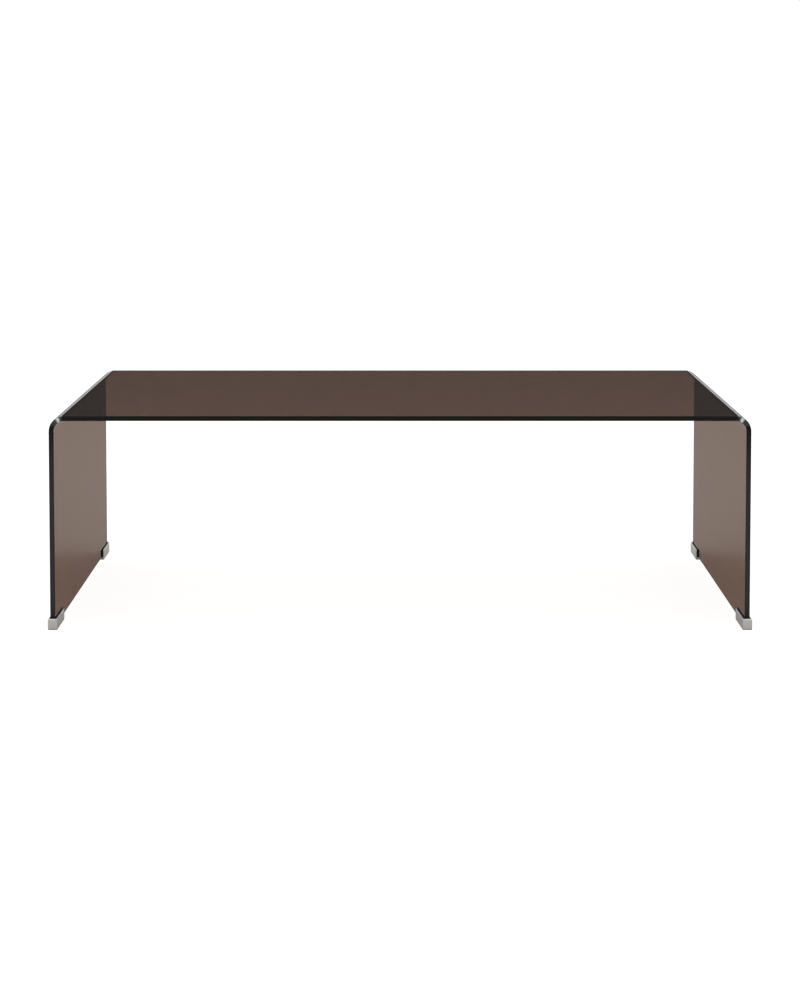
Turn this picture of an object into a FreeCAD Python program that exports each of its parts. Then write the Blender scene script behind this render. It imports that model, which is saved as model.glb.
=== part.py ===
import FreeCAD, Part
import os

# Waterfall coffee table: one sheet of glass bent into an inverted U, which stands in four metal shoes.
# Millimetres. X runs along the table, Y from front to rear and Z up from the floor.
# The origin is on the floor, under the middle of the table.

# Whole table
table_length = 1400.0       # between the outer faces of the two glass legs
table_depth = 700.0         # from the front edge of the glass to its rear edge
table_height = 430.0        # from the floor to the upper face of the glass

# Bent glass sheet
glass_thickness = 10.0
bend_inner_radius = 21.0
edge_arris = 0.6            # width of the flat ground along every edge

# Corner shoe, a metal channel that is closed at its outer end
shoe_length = 86.0
shoe_height = 20.0
shoe_wall = 2.0
shoe_base = 3.0
shoe_edge_radius = 1.0

# Rubber liner between shoe and glass
liner_wall = 2.5
liner_base = 1.0
lip_height = 2.4            # how far the lip stands above the metal
lip_rim = 0.9               # thickness of the lip at its upper rim

# Floor pad, a soft sole that is bonded to the flat underside of the shoe
pad_thickness = 2.0
pad_inset = 0.3             # from the sides of the shoe to the sides of the pad

# Heights of the stack above the floor
shoe_bottom = pad_thickness
liner_bottom = shoe_bottom + shoe_base
glass_bottom = liner_bottom + liner_base
shoe_top = shoe_bottom + shoe_height
lip_top = shoe_top + lip_height

# Places of one foot, measured from the middle of the glass leg and from its front edge
liner_half_width = glass_thickness / 2 + liner_wall
shoe_half_width = liner_half_width + shoe_wall
liner_end = -liner_wall
shoe_end = liner_end - shoe_wall
shoe_mouth = shoe_end + shoe_length

same_place = 0.001          # two places closer than this are one place


def block(half_width, y_low, y_high, z_low, z_high):
    """Box that is centred on the middle of the leg."""
    corner = FreeCAD.Vector(-half_width, y_low, z_low)
    return Part.makeBox(2 * half_width, y_high - y_low, z_high - z_low, corner)


def outline(half_width, y_low, y_high, z):
    """Closed rectangle at one height, centred on the middle of the leg."""
    corners = [
        FreeCAD.Vector(-half_width, y_low, z),
        FreeCAD.Vector(half_width, y_low, z),
        FreeCAD.Vector(half_width, y_high, z),
        FreeCAD.Vector(-half_width, y_high, z),
    ]
    return Part.makePolygon(corners + corners[:1])


def edges_along_y(shape, z):
    """Straight edges of a shape that run along Y at one height."""
    found = []
    for edge in shape.Edges:
        box = edge.BoundBox
        if box.YLength > table_depth / 2 and abs(box.Center.z - z) < same_place:
            found.append(edge)
    return found


def bent_glass_sheet():
    """Sheet with a U section in XZ, drawn out along Y, with its two bends and an arris on every rim."""
    outer_half = table_length / 2
    inner_half = outer_half - glass_thickness
    underside = table_height - glass_thickness
    front = -table_depth / 2
    section = [
        FreeCAD.Vector(-outer_half, front, glass_bottom),
        FreeCAD.Vector(-outer_half, front, table_height),
        FreeCAD.Vector(outer_half, front, table_height),
        FreeCAD.Vector(outer_half, front, glass_bottom),
        FreeCAD.Vector(inner_half, front, glass_bottom),
        FreeCAD.Vector(inner_half, front, underside),
        FreeCAD.Vector(-inner_half, front, underside),
        FreeCAD.Vector(-inner_half, front, glass_bottom),
    ]
    face = Part.Face(Part.makePolygon(section + section[:1]))
    sheet = face.extrude(FreeCAD.Vector(0, table_depth, 0))
    sheet = sheet.makeFillet(bend_inner_radius, edges_along_y(sheet, underside))
    bend_outer_radius = bend_inner_radius + glass_thickness
    sheet = sheet.makeFillet(bend_outer_radius, edges_along_y(sheet, table_height))
    rims = edges_along_y(sheet, glass_bottom)
    rims += [edge for edge in sheet.Edges if edge.BoundBox.YLength < same_place]
    return sheet.makeChamfer(edge_arris, rims)


def front_shoe():
    """Metal channel with a slot for the liner, eased along its outer edges but for those at the pad."""
    body = block(shoe_half_width, shoe_end, shoe_mouth, shoe_bottom, shoe_top)
    above_pad = [edge for edge in body.Edges if edge.BoundBox.ZMax > shoe_bottom + same_place]
    body = body.makeFillet(shoe_edge_radius, above_pad)
    slot = block(liner_half_width, liner_end, shoe_mouth, liner_bottom, shoe_top)
    return body.cut(slot)


def front_liner():
    """Rubber channel that fills the slot around the glass, with a lip that tapers above the metal."""
    channel = block(liner_half_width, liner_end, shoe_mouth, liner_bottom, shoe_top)
    taper = liner_wall - lip_rim
    lip_foot = outline(liner_half_width, liner_end, shoe_mouth, shoe_top)
    lip_crest = outline(liner_half_width - taper, liner_end + taper, shoe_mouth, lip_top)
    lip = Part.makeLoft([lip_foot, lip_crest], True, True)
    glass_slot = block(glass_thickness / 2, 0, shoe_mouth, glass_bottom, lip_top)
    return channel.fuse(lip).removeSplitter().cut(glass_slot)


def front_floor_pad():
    """Soft pad with rounded corners that the shoe stands on."""
    half_width = shoe_half_width - pad_inset
    pad = block(half_width, shoe_end + pad_inset, shoe_mouth - pad_inset, 0, pad_thickness)
    uprights = [edge for edge in pad.Edges if edge.BoundBox.ZLength > pad_thickness / 2]
    return pad.makeFillet(shoe_edge_radius - pad_inset, uprights)


os.makedirs("parts", exist_ok=True)
bent_glass_sheet().exportStep("parts/bent_glass_sheet.step")

leg_middle = table_length / 2 - glass_thickness / 2
up = FreeCAD.Vector(0, 0, 1)
feet = {
    "front_left": (-leg_middle, 0),
    "front_right": (leg_middle, 0),
    "rear_left": (leg_middle, 180),
    "rear_right": (-leg_middle, 180),
}
pieces = {"shoe": front_shoe(), "liner": front_liner(), "floor_pad": front_floor_pad()}
for corner, (x, turn) in feet.items():
    for name, front_piece in pieces.items():
        piece = front_piece.copy()
        piece.translate(FreeCAD.Vector(x, -table_depth / 2, 0))
        piece.rotate(FreeCAD.Vector(), up, turn)
        piece.exportStep(f"parts/{corner}_{name}.step")
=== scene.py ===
import bmesh
import bpy
import itertools
import math
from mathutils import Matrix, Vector


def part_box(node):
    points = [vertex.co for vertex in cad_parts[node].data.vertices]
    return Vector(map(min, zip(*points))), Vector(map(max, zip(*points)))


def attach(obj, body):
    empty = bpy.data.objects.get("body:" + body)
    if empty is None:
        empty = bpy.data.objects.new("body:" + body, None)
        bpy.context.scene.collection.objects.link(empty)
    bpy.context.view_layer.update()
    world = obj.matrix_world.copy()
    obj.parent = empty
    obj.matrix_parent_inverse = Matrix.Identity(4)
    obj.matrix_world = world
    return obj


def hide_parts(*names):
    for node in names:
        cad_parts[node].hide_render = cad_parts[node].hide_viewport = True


# Waterfall coffee table: one sheet of glass bent into an inverted U, which stands in four metal shoes.
# Metres, in the CAD model's frame: X along the table, Y from front to rear, Z up from the floor.
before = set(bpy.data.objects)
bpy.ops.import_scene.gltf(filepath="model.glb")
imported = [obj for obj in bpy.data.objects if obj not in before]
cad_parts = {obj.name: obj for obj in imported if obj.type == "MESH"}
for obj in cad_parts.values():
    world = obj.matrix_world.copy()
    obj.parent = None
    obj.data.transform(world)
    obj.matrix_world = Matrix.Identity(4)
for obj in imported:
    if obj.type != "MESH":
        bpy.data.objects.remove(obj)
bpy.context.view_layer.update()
scene = bpy.context.scene


# Bent glass sheet
# One sheet of smoked bronze float glass. Its edges are ground flat with a small arris and polished, and
# then both ends are heated over a mould until they drop, so one sheet is the top and both legs.
glass_low, glass_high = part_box("bent_glass_sheet")
glass_thickness = 0.010
bend_inner_radius = 0.021
edge_arris = 0.0006
edge_pull = 0.25                  # slope that a bend gives the ground edges
sheet_columns = 1300              # columns of points along the flat sheet
arris_angle = math.radians(60)    # edges that turn by more than this get an arris
crease_angle = math.radians(20)   # edges that turn by more than this stay sharp
ground_share = 0.5                # faces turned to the front or rear by more than this are ground edges


def feed(socket, term):
    """Gives a node's input its term, which is a value or an output of another node."""
    if isinstance(term, bpy.types.NodeSocket):
        socket.id_data.links.new(term, socket)
    else:
        socket.default_value = term


def ramp(tree, value, places, results=(0.0, 1.0), shape="LINEAR"):
    """Map Range node that takes a value from between two places to between two results."""
    node = tree.nodes.new("ShaderNodeMapRange")
    node.interpolation_type = shape
    feed(node.inputs["Value"], value)
    for label, term in zip(("From Min", "From Max", "To Min", "To Max"), (*places, *results)):
        feed(node.inputs[label], term)
    return node.outputs["Result"]


def new_group(name, inputs):
    """New shader group that gives one value; returns it with its inputs and the socket of the value."""
    group = bpy.data.node_groups.new(name, "ShaderNodeTree")
    for label, kind in inputs.items():
        group.interface.new_socket(label, in_out="INPUT", socket_type=kind)
    group.interface.new_socket("Value", in_out="OUTPUT", socket_type="NodeSocketFloat")
    group_in = group.nodes.new("NodeGroupInput")
    group_out = group.nodes.new("NodeGroupOutput")
    return group, group_in.outputs, group_out.inputs["Value"]


def placed(tree, group, **values):
    """A shader group placed in a material with its own values; returns the socket with its value."""
    node = tree.nodes.new("ShaderNodeGroup")
    node.node_tree = group
    for label, value in values.items():
        feed(node.inputs[label], value)
    return node.outputs["Value"]


# Soft patches, a group that every finish of the table uses for the uneven wear of its gloss and colour.
# Scale is about how many patches there are to a metre.
patch_detail = 4.0
patch_roughness = 0.55
patch_noise_ends = (0.3, 0.7)     # values of the noise that give the low and the high value
soft_patches, patch_inputs, patch_value = new_group(
    "soft_patches",
    {"Scale": "NodeSocketFloat", "Low": "NodeSocketFloat", "High": "NodeSocketFloat"},
)
patch_place = soft_patches.nodes.new("ShaderNodeTexCoord")
patch_noise = soft_patches.nodes.new("ShaderNodeTexNoise")
feed(patch_noise.inputs["Vector"], patch_place.outputs["Object"])
feed(patch_noise.inputs["Scale"], patch_inputs["Scale"])
feed(patch_noise.inputs["Detail"], patch_detail)
feed(patch_noise.inputs["Roughness"], patch_roughness)
patch_values = (patch_inputs["Low"], patch_inputs["High"])
feed(patch_value, ramp(soft_patches, patch_noise.outputs["Fac"], patch_noise_ends, patch_values))


def new_finish(name):
    """New material with nodes; returns it with its tree and its Principled shader."""
    finish = bpy.data.materials.new(name)
    finish.use_nodes = True
    return finish, finish.node_tree, finish.node_tree.nodes["Principled BSDF"]


def mix(tree, kind, factor, first, second):
    """Mix node that goes from the first term to the second. Its kind is FLOAT, or RGBA for colours."""
    node = tree.nodes.new("ShaderNodeMix")
    node.data_type = kind
    for label, term in (("Factor", factor), ("A", first), ("B", second)):
        feed(node.inputs[label], term)
    return node.outputs["Result"]


# Smoked glass: clear at its faces, and darkened to bronze by what its thickness takes from the light.
# Its ground edges are less glossy and painted nearly black, a painted shade for the light that is lost
# along the sheet, and the light of lamps passes through it.
glass_ior = 1.52
smoke_colour = (0.40, 0.19, 0.06, 1.0)
smoke_density = 200.0
face_tint = (1.0, 1.0, 1.0, 1.0)
# near-black tint of the ground edges: painted shade for the light lost along the sheet
edge_painted_shade = (0.0009, 0.0003, 0.0002, 1.0)
edge_roughness = 0.12
smoked_glass, glass_tree, glass_shader = new_finish("smoked_bronze_glass")
edge_mask = glass_tree.nodes.new("ShaderNodeAttribute")
edge_mask.attribute_name = "ground_edge"
on_edge = edge_mask.outputs["Fac"]
glass_tint_and_edge_shade = mix(glass_tree, "RGBA", on_edge, face_tint, edge_painted_shade)
face_roughness = placed(glass_tree, soft_patches, Scale=9.0, Low=0.0, High=0.02)
glass_roughness = mix(glass_tree, "FLOAT", on_edge, face_roughness, edge_roughness)
feed(glass_shader.inputs["Transmission Weight"], 1.0)
feed(glass_shader.inputs["IOR"], glass_ior)
feed(glass_shader.inputs["Base Color"], glass_tint_and_edge_shade)
feed(glass_shader.inputs["Roughness"], glass_roughness)
glass_smoke = glass_tree.nodes.new("ShaderNodeVolumeAbsorption")
feed(glass_smoke.inputs["Color"], smoke_colour)
feed(glass_smoke.inputs["Density"], smoke_density)
glass_path = glass_tree.nodes.new("ShaderNodeLightPath")
glass_shade = glass_tree.nodes.new("ShaderNodeBsdfTransparent")
glass_mix = glass_tree.nodes.new("ShaderNodeMixShader")
feed(glass_mix.inputs["Fac"], glass_path.outputs["Is Shadow Ray"])
feed(glass_mix.inputs[1], glass_shader.outputs["BSDF"])
feed(glass_mix.inputs[2], glass_shade.outputs["BSDF"])
feed(glass_tree.nodes["Material Output"].inputs["Surface"], glass_mix.outputs["Shader"])
feed(glass_tree.nodes["Material Output"].inputs["Volume"], glass_smoke.outputs["Volume"])

# Tree of the sheet, with its sizes as inputs.
sheet_inputs = {
    "Length": ("NodeSocketFloat", glass_high.x - glass_low.x),
    "Depth": ("NodeSocketFloat", glass_high.y - glass_low.y),
    "Top": ("NodeSocketFloat", glass_high.z),
    "Foot": ("NodeSocketFloat", glass_low.z),
    "Thickness": ("NodeSocketFloat", glass_thickness),
    "Bend Radius": ("NodeSocketFloat", bend_inner_radius),
    "Edge Pull": ("NodeSocketFloat", edge_pull),
    "Columns": ("NodeSocketInt", sheet_columns),
    "Material": ("NodeSocketMaterial", smoked_glass),
}
sheet_tree = bpy.data.node_groups.new("sheet_bent_over_both_ends", "GeometryNodeTree")
sheet_values = {}
for label, (kind, value) in sheet_inputs.items():
    socket = sheet_tree.interface.new_socket(label, in_out="INPUT", socket_type=kind)
    sheet_values[socket.identifier] = value
sheet_tree.interface.new_socket("Sheet", in_out="OUTPUT", socket_type="NodeSocketGeometry")
sheet_in = sheet_tree.nodes.new("NodeGroupInput").outputs
sheet_out = sheet_tree.nodes.new("NodeGroupOutput").inputs


def calculate(tree, operation, *terms):
    """Math node; returns the socket with its result."""
    node = tree.nodes.new("ShaderNodeMath")
    node.operation = operation
    for socket, term in zip(node.inputs, terms):
        feed(socket, term)
    return node.outputs["Value"]


def combine(tree, x, y, z):
    """Vector with three terms as its parts."""
    node = tree.nodes.new("ShaderNodeCombineXYZ")
    for socket, term in zip(node.inputs, (x, y, z)):
        feed(socket, term)
    return node.outputs["Vector"]


def split(tree, vector):
    """The parts X, Y and Z of a vector."""
    node = tree.nodes.new("ShaderNodeSeparateXYZ")
    feed(node.inputs["Vector"], vector)
    return node.outputs


# Rule of the bend: half the flat sheet is a level run, a quarter turn and a straight drop.
half_length = calculate(sheet_tree, "DIVIDE", sheet_in["Length"], 2.0)
half_thickness = calculate(sheet_tree, "DIVIDE", sheet_in["Thickness"], 2.0)
outer_radius = calculate(sheet_tree, "ADD", sheet_in["Bend Radius"], sheet_in["Thickness"])
middle_radius = calculate(sheet_tree, "ADD", sheet_in["Bend Radius"], half_thickness)
level_run = calculate(sheet_tree, "SUBTRACT", half_length, outer_radius)
quarter_turn = calculate(sheet_tree, "MULTIPLY", middle_radius, math.pi / 2)
bend_centre = calculate(sheet_tree, "SUBTRACT", sheet_in["Top"], outer_radius)
leg_drop = calculate(sheet_tree, "SUBTRACT", bend_centre, sheet_in["Foot"])
run_and_turn = calculate(sheet_tree, "ADD", level_run, quarter_turn)
half_flat = calculate(sheet_tree, "ADD", run_and_turn, leg_drop)
flat_length = calculate(sheet_tree, "MULTIPLY", half_flat, 2.0)
flat_size = combine(sheet_tree, flat_length, sheet_in["Depth"], sheet_in["Thickness"])
flat_sheet = sheet_tree.nodes.new("GeometryNodeMeshCube")
feed(flat_sheet.inputs["Size"], flat_size)
feed(flat_sheet.inputs["Vertices X"], sheet_in["Columns"])
feed(flat_sheet.inputs["Vertices Y"], 2)
feed(flat_sheet.inputs["Vertices Z"], 2)

flat_place = sheet_tree.nodes.new("GeometryNodeInputPosition")
flat = split(sheet_tree, flat_place.outputs["Position"])
left_or_right = calculate(sheet_tree, "SIGN", flat["X"])
along = calculate(sheet_tree, "ABSOLUTE", flat["X"])
run = calculate(sheet_tree, "MINIMUM", along, level_run)
past_run = calculate(sheet_tree, "SUBTRACT", along, level_run)
past_run_angle = calculate(sheet_tree, "DIVIDE", past_run, middle_radius)
turn_from_zero = calculate(sheet_tree, "MAXIMUM", past_run_angle, 0.0)
turn = calculate(sheet_tree, "MINIMUM", turn_from_zero, math.pi / 2)
past_turn = calculate(sheet_tree, "SUBTRACT", along, run_and_turn)
drop = calculate(sheet_tree, "MAXIMUM", past_turn, 0.0)
radius = calculate(sheet_tree, "ADD", middle_radius, flat["Z"])
turn_sine = calculate(sheet_tree, "SINE", turn)
turn_cosine = calculate(sheet_tree, "COSINE", turn)
reach = calculate(sheet_tree, "MULTIPLY", radius, turn_sine)
rise = calculate(sheet_tree, "MULTIPLY", radius, turn_cosine)
out_from_middle = calculate(sheet_tree, "ADD", run, reach)
bent_x = calculate(sheet_tree, "MULTIPLY", left_or_right, out_from_middle)
above_floor = calculate(sheet_tree, "ADD", bend_centre, rise)
bent_z = calculate(sheet_tree, "SUBTRACT", above_floor, drop)

# Round a bend the edge is drawn in on the outside, where the glass stretches, and swells on the inside.
pull_angle = calculate(sheet_tree, "MULTIPLY", turn, 2.0)
pull_sine = calculate(sheet_tree, "SINE", pull_angle)
pull_slope = calculate(sheet_tree, "MULTIPLY", pull_sine, sheet_in["Edge Pull"])
pull = calculate(sheet_tree, "MULTIPLY", pull_slope, flat["Z"])
front_or_rear = calculate(sheet_tree, "SIGN", flat["Y"])
drawn_in = calculate(sheet_tree, "MULTIPLY", pull, front_or_rear)
bent_y = calculate(sheet_tree, "SUBTRACT", flat["Y"], drawn_in)

bend_sheet = sheet_tree.nodes.new("GeometryNodeSetPosition")
feed(bend_sheet.inputs["Position"], combine(sheet_tree, bent_x, bent_y, bent_z))
smooth_sheet = sheet_tree.nodes.new("GeometryNodeSetShadeSmooth")
realize_sheet = sheet_tree.nodes.new("GeometryNodeRealizeInstances")
paint_sheet = sheet_tree.nodes.new("GeometryNodeSetMaterial")
feed(paint_sheet.inputs["Material"], sheet_in["Material"])
sheet = flat_sheet.outputs["Mesh"]
for step in (bend_sheet, smooth_sheet, realize_sheet, paint_sheet):
    feed(step.inputs["Geometry"], sheet)
    sheet = step.outputs["Geometry"]
feed(sheet_out["Sheet"], sheet)

glass = bpy.data.objects.new("glass_sheet", bpy.data.meshes.new("glass_sheet"))
scene.collection.objects.link(glass)
bend = glass.modifiers.new("bend", "NODES")
bend.node_group = sheet_tree
for identifier, value in sheet_values.items():
    bend[identifier] = value
arris = glass.modifiers.new("arris", "BEVEL")
arris.width = edge_arris
arris.segments = 1
arris.limit_method = "ANGLE"
arris.angle_limit = arris_angle
bent_glass = glass.evaluated_get(bpy.context.evaluated_depsgraph_get())
bent_mesh = bpy.data.meshes.new_from_object(bent_glass)
bent_mesh.set_sharp_from_angle(angle=crease_angle)
bent_mesh.materials.clear()
bent_mesh.materials.append(smoked_glass)
ground_edge = bent_mesh.attributes.new("ground_edge", "FLOAT", "FACE")
for face in bent_mesh.polygons:
    face.material_index = 0
    ground_edge.data[face.index].value = float(abs(face.normal.y) > ground_share)
glass.modifiers.clear()
glass.data = bent_mesh
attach(glass, "root")
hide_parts("bent_glass_sheet")


# Corner shoes
# Four channels of solid metal, closed at the end that faces out, milled and plated in satin nickel.
# Each is pressed over one foot of the glass with a rubber liner between. Its outer edges are rounded.
closed_ends = {"front_left": -1, "front_right": -1, "rear_left": 1, "rear_right": 1}   # way along Y
shoe_wall = 0.002
shoe_base = 0.003
shoe_edge_radius = 0.001
eased_segments = 3                # flats that a rounded edge is made of
level_decimals = 7                # levels that agree to this many decimals are one
same_place = 2e-7                 # places closer than this are one
flat_angle = 0.01                 # faces that meet at less than these radians are one


def slot_corners(low, high, wall, base, closed_end):
    """Low and high corner of a block's slot, which is open at the top and at one end."""
    slot_low = low + Vector((wall, 0.0, base))
    slot_high = high - Vector((wall, 0.0, 0.0))
    if closed_end < 0:
        slot_low.y += wall
    else:
        slot_high.y -= wall
    return slot_low, slot_high


def carve(low, high, slot=None, rings=()):
    """Closed block between two corners, without its slot.

    The block is divided into cells at the corners of its slot and at the heights of its rings,
    and a face stands wherever a full cell meets an empty one.
    """
    levels = []
    for axis in range(3):
        places = {low[axis], high[axis]}
        if slot:
            places.update(corner[axis] for corner in slot)
        if axis == 2:
            places.update(rings)
        levels.append(sorted({round(place, level_decimals) for place in places}))

    def full(cell):
        """True where a cell is inside the block and not in its slot."""
        if any(not 0 <= cell[axis] < len(levels[axis]) - 1 for axis in range(3)):
            return False
        if not slot:
            return True
        middle = [(levels[axis][cell[axis]] + levels[axis][cell[axis] + 1]) / 2 for axis in range(3)]
        return not all(slot[0][axis] < middle[axis] < slot[1][axis] for axis in range(3))

    block = bmesh.new()
    verts = {}

    def vert(place):
        """The block's one vertex at a crossing of three levels."""
        if place not in verts:
            verts[place] = block.verts.new([levels[axis][place[axis]] for axis in range(3)])
        return verts[place]

    for cell in itertools.product(*(range(-1, len(places)) for places in levels)):
        for axis in range(3):
            beyond = list(cell)
            beyond[axis] += 1
            if full(cell) == full(beyond):
                continue
            first, second = [other for other in range(3) if other != axis]
            face_verts = []
            for step_first, step_second in ((0, 0), (1, 0), (1, 1), (0, 1)):
                place = list(beyond)
                place[first] += step_first
                place[second] += step_second
                face_verts.append(vert(tuple(place)))
            block.faces.new(face_verts)
    return block


def finish_block(block, name, material, eased, radius):
    """Makes a carved block an object, with a rounded Bevel on the edges that eased picks."""
    bmesh.ops.recalc_face_normals(block, faces=block.faces)
    bmesh.ops.dissolve_limit(block, angle_limit=flat_angle, verts=block.verts, edges=block.edges)
    weight = block.edges.layers.float.new("bevel_weight_edge")
    for edge in block.edges:
        edge.smooth = eased(edge)
        edge[weight] = float(edge.smooth)
    for face in block.faces:
        face.smooth = True
    mesh = bpy.data.meshes.new(name)
    block.to_mesh(mesh)
    block.free()
    mesh.materials.append(material)
    piece = bpy.data.objects.new(name, mesh)
    scene.collection.objects.link(piece)
    ease = piece.modifiers.new("eased_edges", "BEVEL")
    ease.width = radius
    ease.segments = eased_segments
    ease.limit_method = "WEIGHT"
    ease.harden_normals = True
    return piece


def on_outer_edge(edge, low, high):
    """True where an edge lies along one of the edges of a box, other than the four at its bottom."""
    if max(vert.co.z for vert in edge.verts) < low.z + same_place:
        return False
    shared = 0
    for axis in range(3):
        for place in (low[axis], high[axis]):
            if all(abs(vert.co[axis] - place) < same_place for vert in edge.verts):
                shared += 1
    return shared >= 2


# Surface grain, a group for the brushed grain of the metal and the moulded grain of the rubber.
# Stretch is about how many grains there are to a metre along each axis.
surface_grain, grain_inputs, grain_value = new_group(
    "surface_grain",
    {"Stretch": "NodeSocketVector", "Detail": "NodeSocketFloat"},
)
grain_place = surface_grain.nodes.new("ShaderNodeTexCoord")
grain_stretch = surface_grain.nodes.new("ShaderNodeMapping")
grain_noise = surface_grain.nodes.new("ShaderNodeTexNoise")
feed(grain_stretch.inputs["Vector"], grain_place.outputs["Object"])
feed(grain_stretch.inputs["Scale"], grain_inputs["Stretch"])
feed(grain_noise.inputs["Vector"], grain_stretch.outputs["Vector"])
feed(grain_noise.inputs["Scale"], 1.0)
feed(grain_noise.inputs["Detail"], grain_inputs["Detail"])
feed(grain_value, grain_noise.outputs["Fac"])


def bump(tree, height, strength, depth):
    """Bump node; returns the normal of a surface with this height."""
    node = tree.nodes.new("ShaderNodeBump")
    for label, term in (("Height", height), ("Strength", strength), ("Distance", depth)):
        feed(node.inputs[label], term)
    return node.outputs["Normal"]


# Satin nickel: warm grey metal with a fine brushed grain along the shoe and slightly uneven gloss.
nickel_dark = (0.79, 0.78, 0.765, 1.0)
nickel_light = (0.89, 0.88, 0.865, 1.0)
brushed_roughness = 0.12          # what the grain adds to the roughness
brushed_strength = 0.15
brushed_depth = 0.00005
satin_nickel, nickel_tree, nickel_shader = new_finish("satin_nickel")
brushed = placed(nickel_tree, surface_grain, Stretch=(5000.0, 120.0, 5000.0), Detail=3.0)
nickel_wear = placed(nickel_tree, soft_patches, Scale=60.0, Low=0.38, High=0.46)
nickel_colour = mix(nickel_tree, "RGBA", brushed, nickel_dark, nickel_light)
nickel_roughness = calculate(nickel_tree, "MULTIPLY_ADD", brushed, brushed_roughness, nickel_wear)
feed(nickel_shader.inputs["Metallic"], 1.0)
feed(nickel_shader.inputs["Base Color"], nickel_colour)
feed(nickel_shader.inputs["Roughness"], nickel_roughness)
feed(nickel_shader.inputs["Normal"], bump(nickel_tree, brushed, brushed_strength, brushed_depth))

for corner, closed_end in closed_ends.items():
    shoe_low, shoe_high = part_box(corner + "_shoe")
    liner_slot = slot_corners(shoe_low, shoe_high, shoe_wall, shoe_base, closed_end)
    shoe = finish_block(
        carve(shoe_low, shoe_high, liner_slot),
        corner + "_metal_shoe",
        satin_nickel,
        lambda edge: on_outer_edge(edge, shoe_low, shoe_high),
        shoe_edge_radius,
    )
    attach(shoe, "root")
    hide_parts(corner + "_shoe")


# Rubber liners
# Moulded black rubber channels between the metal and the glass, so that the two never touch. A lip
# stands above the metal and narrows towards the glass. They are squeezed in place and need no glue.
liner_wall = 0.0025
liner_base = 0.001
lip_height = 0.0024
lip_rim = 0.0009                  # thickness of the lip at its upper rim
lip_taper = liner_wall - lip_rim
liner_air = 0.00005               # hair of air between the rubber and the glass
liner_edge_radius = 0.0004

# Black rubber: matt, with the fine grain of its mould and a little dust.
rubber_black = (0.003, 0.0026, 0.0024, 1.0)
rubber_dusty = (0.008, 0.007, 0.0065, 1.0)
rubber_specular = 0.2
moulded_strength = 0.25
moulded_depth = 0.0001
black_rubber, rubber_tree, rubber_shader = new_finish("black_rubber")
moulded = placed(rubber_tree, surface_grain, Stretch=(2500.0, 2500.0, 2500.0), Detail=2.0)
rubber_dust = placed(rubber_tree, soft_patches, Scale=150.0, Low=0.0, High=1.0)
rubber_colour = mix(rubber_tree, "RGBA", rubber_dust, rubber_black, rubber_dusty)
rubber_roughness = placed(rubber_tree, soft_patches, Scale=90.0, Low=0.65, High=0.85)
feed(rubber_shader.inputs["Specular IOR Level"], rubber_specular)
feed(rubber_shader.inputs["Base Color"], rubber_colour)
feed(rubber_shader.inputs["Roughness"], rubber_roughness)
feed(rubber_shader.inputs["Normal"], bump(rubber_tree, moulded, moulded_strength, moulded_depth))

for corner, closed_end in closed_ends.items():
    liner_low, liner_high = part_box(corner + "_liner")
    glass_slot = slot_corners(
        liner_low,
        liner_high,
        liner_wall - liner_air,
        liner_base - liner_air,
        closed_end,
    )
    channel = carve(liner_low, liner_high, glass_slot, rings=[liner_high.z - lip_height])
    outer_end = liner_low.y if closed_end < 0 else liner_high.y
    for vert in channel.verts:
        if vert.co.z < liner_high.z - lip_height / 2:
            continue
        for outer_side, inwards in ((liner_low.x, 1.0), (liner_high.x, -1.0)):
            if abs(vert.co.x - outer_side) < lip_rim / 2:
                vert.co.x += inwards * lip_taper
        if abs(vert.co.y - outer_end) < lip_rim / 2:
            vert.co.y -= closed_end * lip_taper
    liner = finish_block(
        channel,
        corner + "_rubber_liner",
        black_rubber,
        lambda edge: all(abs(vert.co.z - liner_high.z) < lip_rim / 2 for vert in edge.verts),
        liner_edge_radius,
    )
    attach(liner, "root")
    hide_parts(corner + "_liner")


# Floor pads
# Soles of soft grey plastic with rounded corners, bonded to the flat underside of each shoe, so that no
# metal stands on the floor. Only a thin line of them shows.
pad_corner_radius = 0.0007

# Soft plastic: matt dark grey, with scuffs.
plastic_dark = (0.21, 0.205, 0.20, 1.0)
plastic_scuffed = (0.28, 0.275, 0.27, 1.0)
soft_plastic, plastic_tree, plastic_shader = new_finish("soft_grey_plastic")
scuffs = placed(plastic_tree, soft_patches, Scale=120.0, Low=0.0, High=1.0)
plastic_colour = mix(plastic_tree, "RGBA", scuffs, plastic_dark, plastic_scuffed)
plastic_roughness = placed(plastic_tree, soft_patches, Scale=200.0, Low=0.4, High=0.6)
feed(plastic_shader.inputs["Base Color"], plastic_colour)
feed(plastic_shader.inputs["Roughness"], plastic_roughness)

for corner in closed_ends:
    pad_low, pad_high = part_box(corner + "_floor_pad")
    pad = finish_block(
        carve(pad_low, pad_high),
        corner + "_pad",
        soft_plastic,
        lambda edge: abs(edge.verts[0].co.z - edge.verts[1].co.z) > pad_corner_radius,
        pad_corner_radius,
    )
    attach(pad, "root")
    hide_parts(corner + "_floor_pad")


# Studio
# A wide floor that runs out to a white background, under an even dome of light with one dark part low
# behind the table, which the top mirrors. The floor is white to the camera and through the glass, and
# mirror reflections see a painted pool of light on it in front of the table, brighter than elsewhere.
floor_half_size = 300.0
floor_colour = (0.197, 0.184, 0.164, 1.0)
floor_white = 0.92                # what the camera sees of the floor besides the light on it
floor_mirrored = 0.06             # what mirror reflections see of it besides the light on it
light_pool_strength = 0.42             # painted pool of light that mirror reflections see on top of that, in front of the table
front_start = (-0.55, -0.38)      # places along Y between which the painted pool of light begins
front_end = (-2.7, -2.2)          # and between which it ends
front_sides = (1.2, 2.2)          # distances from the middle between which it fades to both sides

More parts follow.
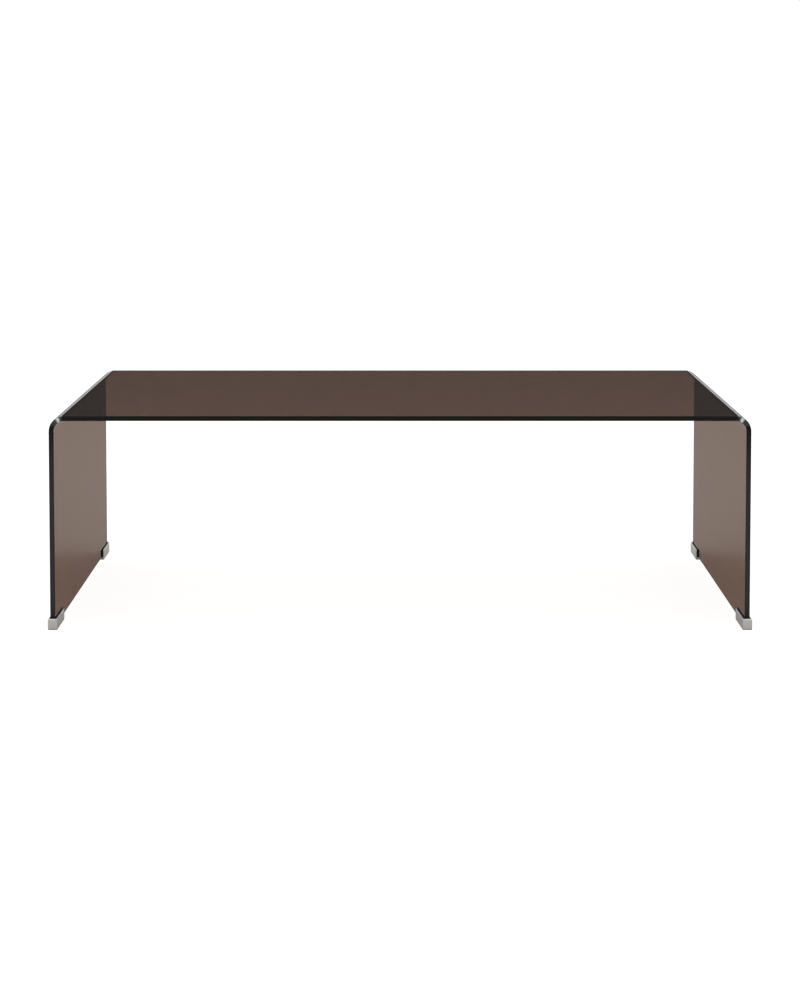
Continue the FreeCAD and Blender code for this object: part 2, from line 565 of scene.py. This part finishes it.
floor_mesh = bpy.data.meshes.new("studio_floor")
floor_mesh.from_pydata(
    [
        (-floor_half_size, -floor_half_size, 0.0),
        (floor_half_size, -floor_half_size, 0.0),
        (floor_half_size, floor_half_size, 0.0),
        (-floor_half_size, floor_half_size, 0.0),
    ],
    [],
    [(0, 1, 2, 3)],
)
floor = bpy.data.objects.new("studio_floor", floor_mesh)
scene.collection.objects.link(floor)
floor_paint, floor_tree, floor_shader = new_finish("pale_floor")
floor_tree.nodes.remove(floor_shader)
floor_place = floor_tree.nodes.new("ShaderNodeTexCoord")
floor_parts = split(floor_tree, floor_place.outputs["Object"])
floor_aside = calculate(floor_tree, "ABSOLUTE", floor_parts["X"])
# Painted pool of light on the floor in front of the table, seen only in mirror reflections.
front_begun = ramp(floor_tree, floor_parts["Y"], front_start, (1.0, 0.0), "SMOOTHSTEP")
front_not_over = ramp(floor_tree, floor_parts["Y"], front_end, (0.0, 1.0), "SMOOTHSTEP")
front_aside = ramp(floor_tree, floor_aside, front_sides, (1.0, 0.0), "SMOOTHSTEP")
front_strip = calculate(floor_tree, "MULTIPLY", front_begun, front_not_over)
painted_light_pool = calculate(floor_tree, "MULTIPLY", front_strip, front_aside)
mirror_level = calculate(floor_tree, "MULTIPLY_ADD", painted_light_pool, light_pool_strength, floor_mirrored)
floor_path = floor_tree.nodes.new("ShaderNodeLightPath").outputs
floor_seen = calculate(
    floor_tree,
    "MAXIMUM",
    floor_path["Is Camera Ray"],
    floor_path["Is Transmission Ray"],
)
seen_level = calculate(floor_tree, "MULTIPLY", floor_seen, floor_white)
floor_level = calculate(
    floor_tree,
    "MULTIPLY_ADD",
    floor_path["Is Glossy Ray"],
    mirror_level,
    seen_level,
)
floor_matt = floor_tree.nodes.new("ShaderNodeBsdfDiffuse")
feed(floor_matt.inputs["Color"], floor_colour)
floor_glow = floor_tree.nodes.new("ShaderNodeEmission")
feed(floor_glow.inputs["Strength"], floor_level)
floor_sum = floor_tree.nodes.new("ShaderNodeAddShader")
feed(floor_sum.inputs[0], floor_matt.outputs["BSDF"])
feed(floor_sum.inputs[1], floor_glow.outputs["Emission"])
feed(floor_tree.nodes["Material Output"].inputs["Surface"], floor_sum.outputs["Shader"])
floor_mesh.materials.append(floor_paint)

light_at_sides = 0.82             # strength of the dome at the horizon
light_overhead = 0.85
light_colour = (1.0, 1.0, 1.0, 1.0)
dark_middle = (0.0, 0.988, 0.156)   # way to the middle of the dark part of the dome
dark_rim = 0.955                  # closeness to the middle at which the dome starts to darken
dark_core = 0.978                 # closeness at which it is dark
sweep_share = 0.85                # share of the dome's strength that the white sweep below the dark has
sweep_top = (0.065, 0.09)         # heights on a unit dome between which the sweep ends
mirrored_background = 0.055       # what mirror reflections see of the white background besides the dome

studio = bpy.data.worlds.new("studio")
scene.world = studio
studio.use_nodes = True
studio_tree = studio.node_tree
studio_way = studio_tree.nodes.new("ShaderNodeTexCoord").outputs["Generated"]
studio_height = split(studio_tree, studio_way)["Z"]
even_light = ramp(studio_tree, studio_height, (0.0, 1.0), (light_at_sides, light_overhead))
dark_product = studio_tree.nodes.new("ShaderNodeVectorMath")
dark_product.operation = "DOT_PRODUCT"
feed(dark_product.inputs[0], studio_way)
feed(dark_product.inputs[1], dark_middle)
dark_closeness = dark_product.outputs["Value"]
dark_part = ramp(studio_tree, dark_closeness, (dark_rim, dark_core), shape="SMOOTHSTEP")
above_sweep = ramp(studio_tree, studio_height, sweep_top, shape="SMOOTHSTEP")
dark_loss = ramp(studio_tree, above_sweep, (0.0, 1.0), (sweep_share - 1.0, -1.0))
light_kept = calculate(studio_tree, "MULTIPLY_ADD", dark_part, dark_loss, 1.0)
dome_light = calculate(studio_tree, "MULTIPLY", even_light, light_kept)
studio_path = studio_tree.nodes.new("ShaderNodeLightPath").outputs
below_sweep = calculate(studio_tree, "SUBTRACT", 1.0, above_sweep)
white_seen = calculate(
    studio_tree,
    "MULTIPLY_ADD",
    studio_path["Is Transmission Ray"],
    below_sweep,
    studio_path["Is Camera Ray"],
)
dome_seen = calculate(studio_tree, "SUBTRACT", 1.0, white_seen)
white_light = calculate(
    studio_tree,
    "MULTIPLY_ADD",
    studio_path["Is Glossy Ray"],
    mirrored_background,
    white_seen,
)
studio_light = calculate(studio_tree, "MULTIPLY_ADD", dome_light, dome_seen, white_light)
feed(studio_tree.nodes["Background"].inputs["Color"], light_colour)
feed(studio_tree.nodes["Background"].inputs["Strength"], studio_light)
scene.view_settings.view_transform = "Standard"

# Softboxes, each with a twin mirrored in X. Light is how bright the face looks from straight ahead, and
# spread is the angle of the beam in degrees.
softboxes = {
    "bend_light": {
        "size": (0.3, 0.5),
        "light": 16.0,
        "spread": 26,
        "place": (1.45, -2.33, 0.84),
        "aim": (0.69, -0.35, 0.42),
    },
    "rear_softbox": {
        "size": (1.1, 0.7),
        "light": 5.0,
        "spread": 180,
        "place": (1.95, 2.2, 0.55),
        "aim": (-0.4, 0.0, 0.1),
    },
    "side_softbox": {
        "size": (1.8, 1.8),
        "light": 2.5,
        "spread": 180,
        "place": (2.0, 0.5, 2.4),
        "aim": (0.3, 0.0, 0.3),
    },
}
for name, softbox in softboxes.items():
    width, height = softbox["size"]
    spread = math.radians(softbox["spread"])
    beam_share = 1.0 - spread / 2.0 / math.tan(spread / 2.0)
    for x_sign in (-1.0, 1.0):
        lamp_data = bpy.data.lights.new(name, "AREA")
        lamp_data.shape = "RECTANGLE"
        lamp_data.size = width
        lamp_data.size_y = height
        lamp_data.spread = spread
        lamp_data.energy = softbox["light"] * math.pi * width * height * beam_share
        lamp = bpy.data.objects.new(name, lamp_data)
        mirror = Vector((x_sign, 1.0, 1.0))
        lamp.location = Vector(softbox["place"]) * mirror
        aim = Vector(softbox["aim"]) * mirror - lamp.location
        lamp.rotation_euler = aim.to_track_quat("-Z", "Y").to_euler()
        scene.collection.objects.link(lamp)

camera_distance = 4.2426
camera_height = 1.0301
camera_pitch = math.radians(3.077)    # looks down
camera_sensor = 36.0                  # millimetres, as the lens
camera_lens = 70.884
camera_shift = -0.28
camera_data = bpy.data.cameras.new("photo_camera")
camera_data.sensor_width = camera_sensor
camera_data.lens = camera_lens
camera_data.shift_y = camera_shift
camera_data.clip_end = 2.0 * floor_half_size
camera = bpy.data.objects.new("photo_camera", camera_data)
camera.location = (0.0, -camera_distance, camera_height)
camera.rotation_euler = (math.pi / 2 - camera_pitch, 0.0, 0.0)
scene.collection.objects.link(camera)
scene.camera = camera
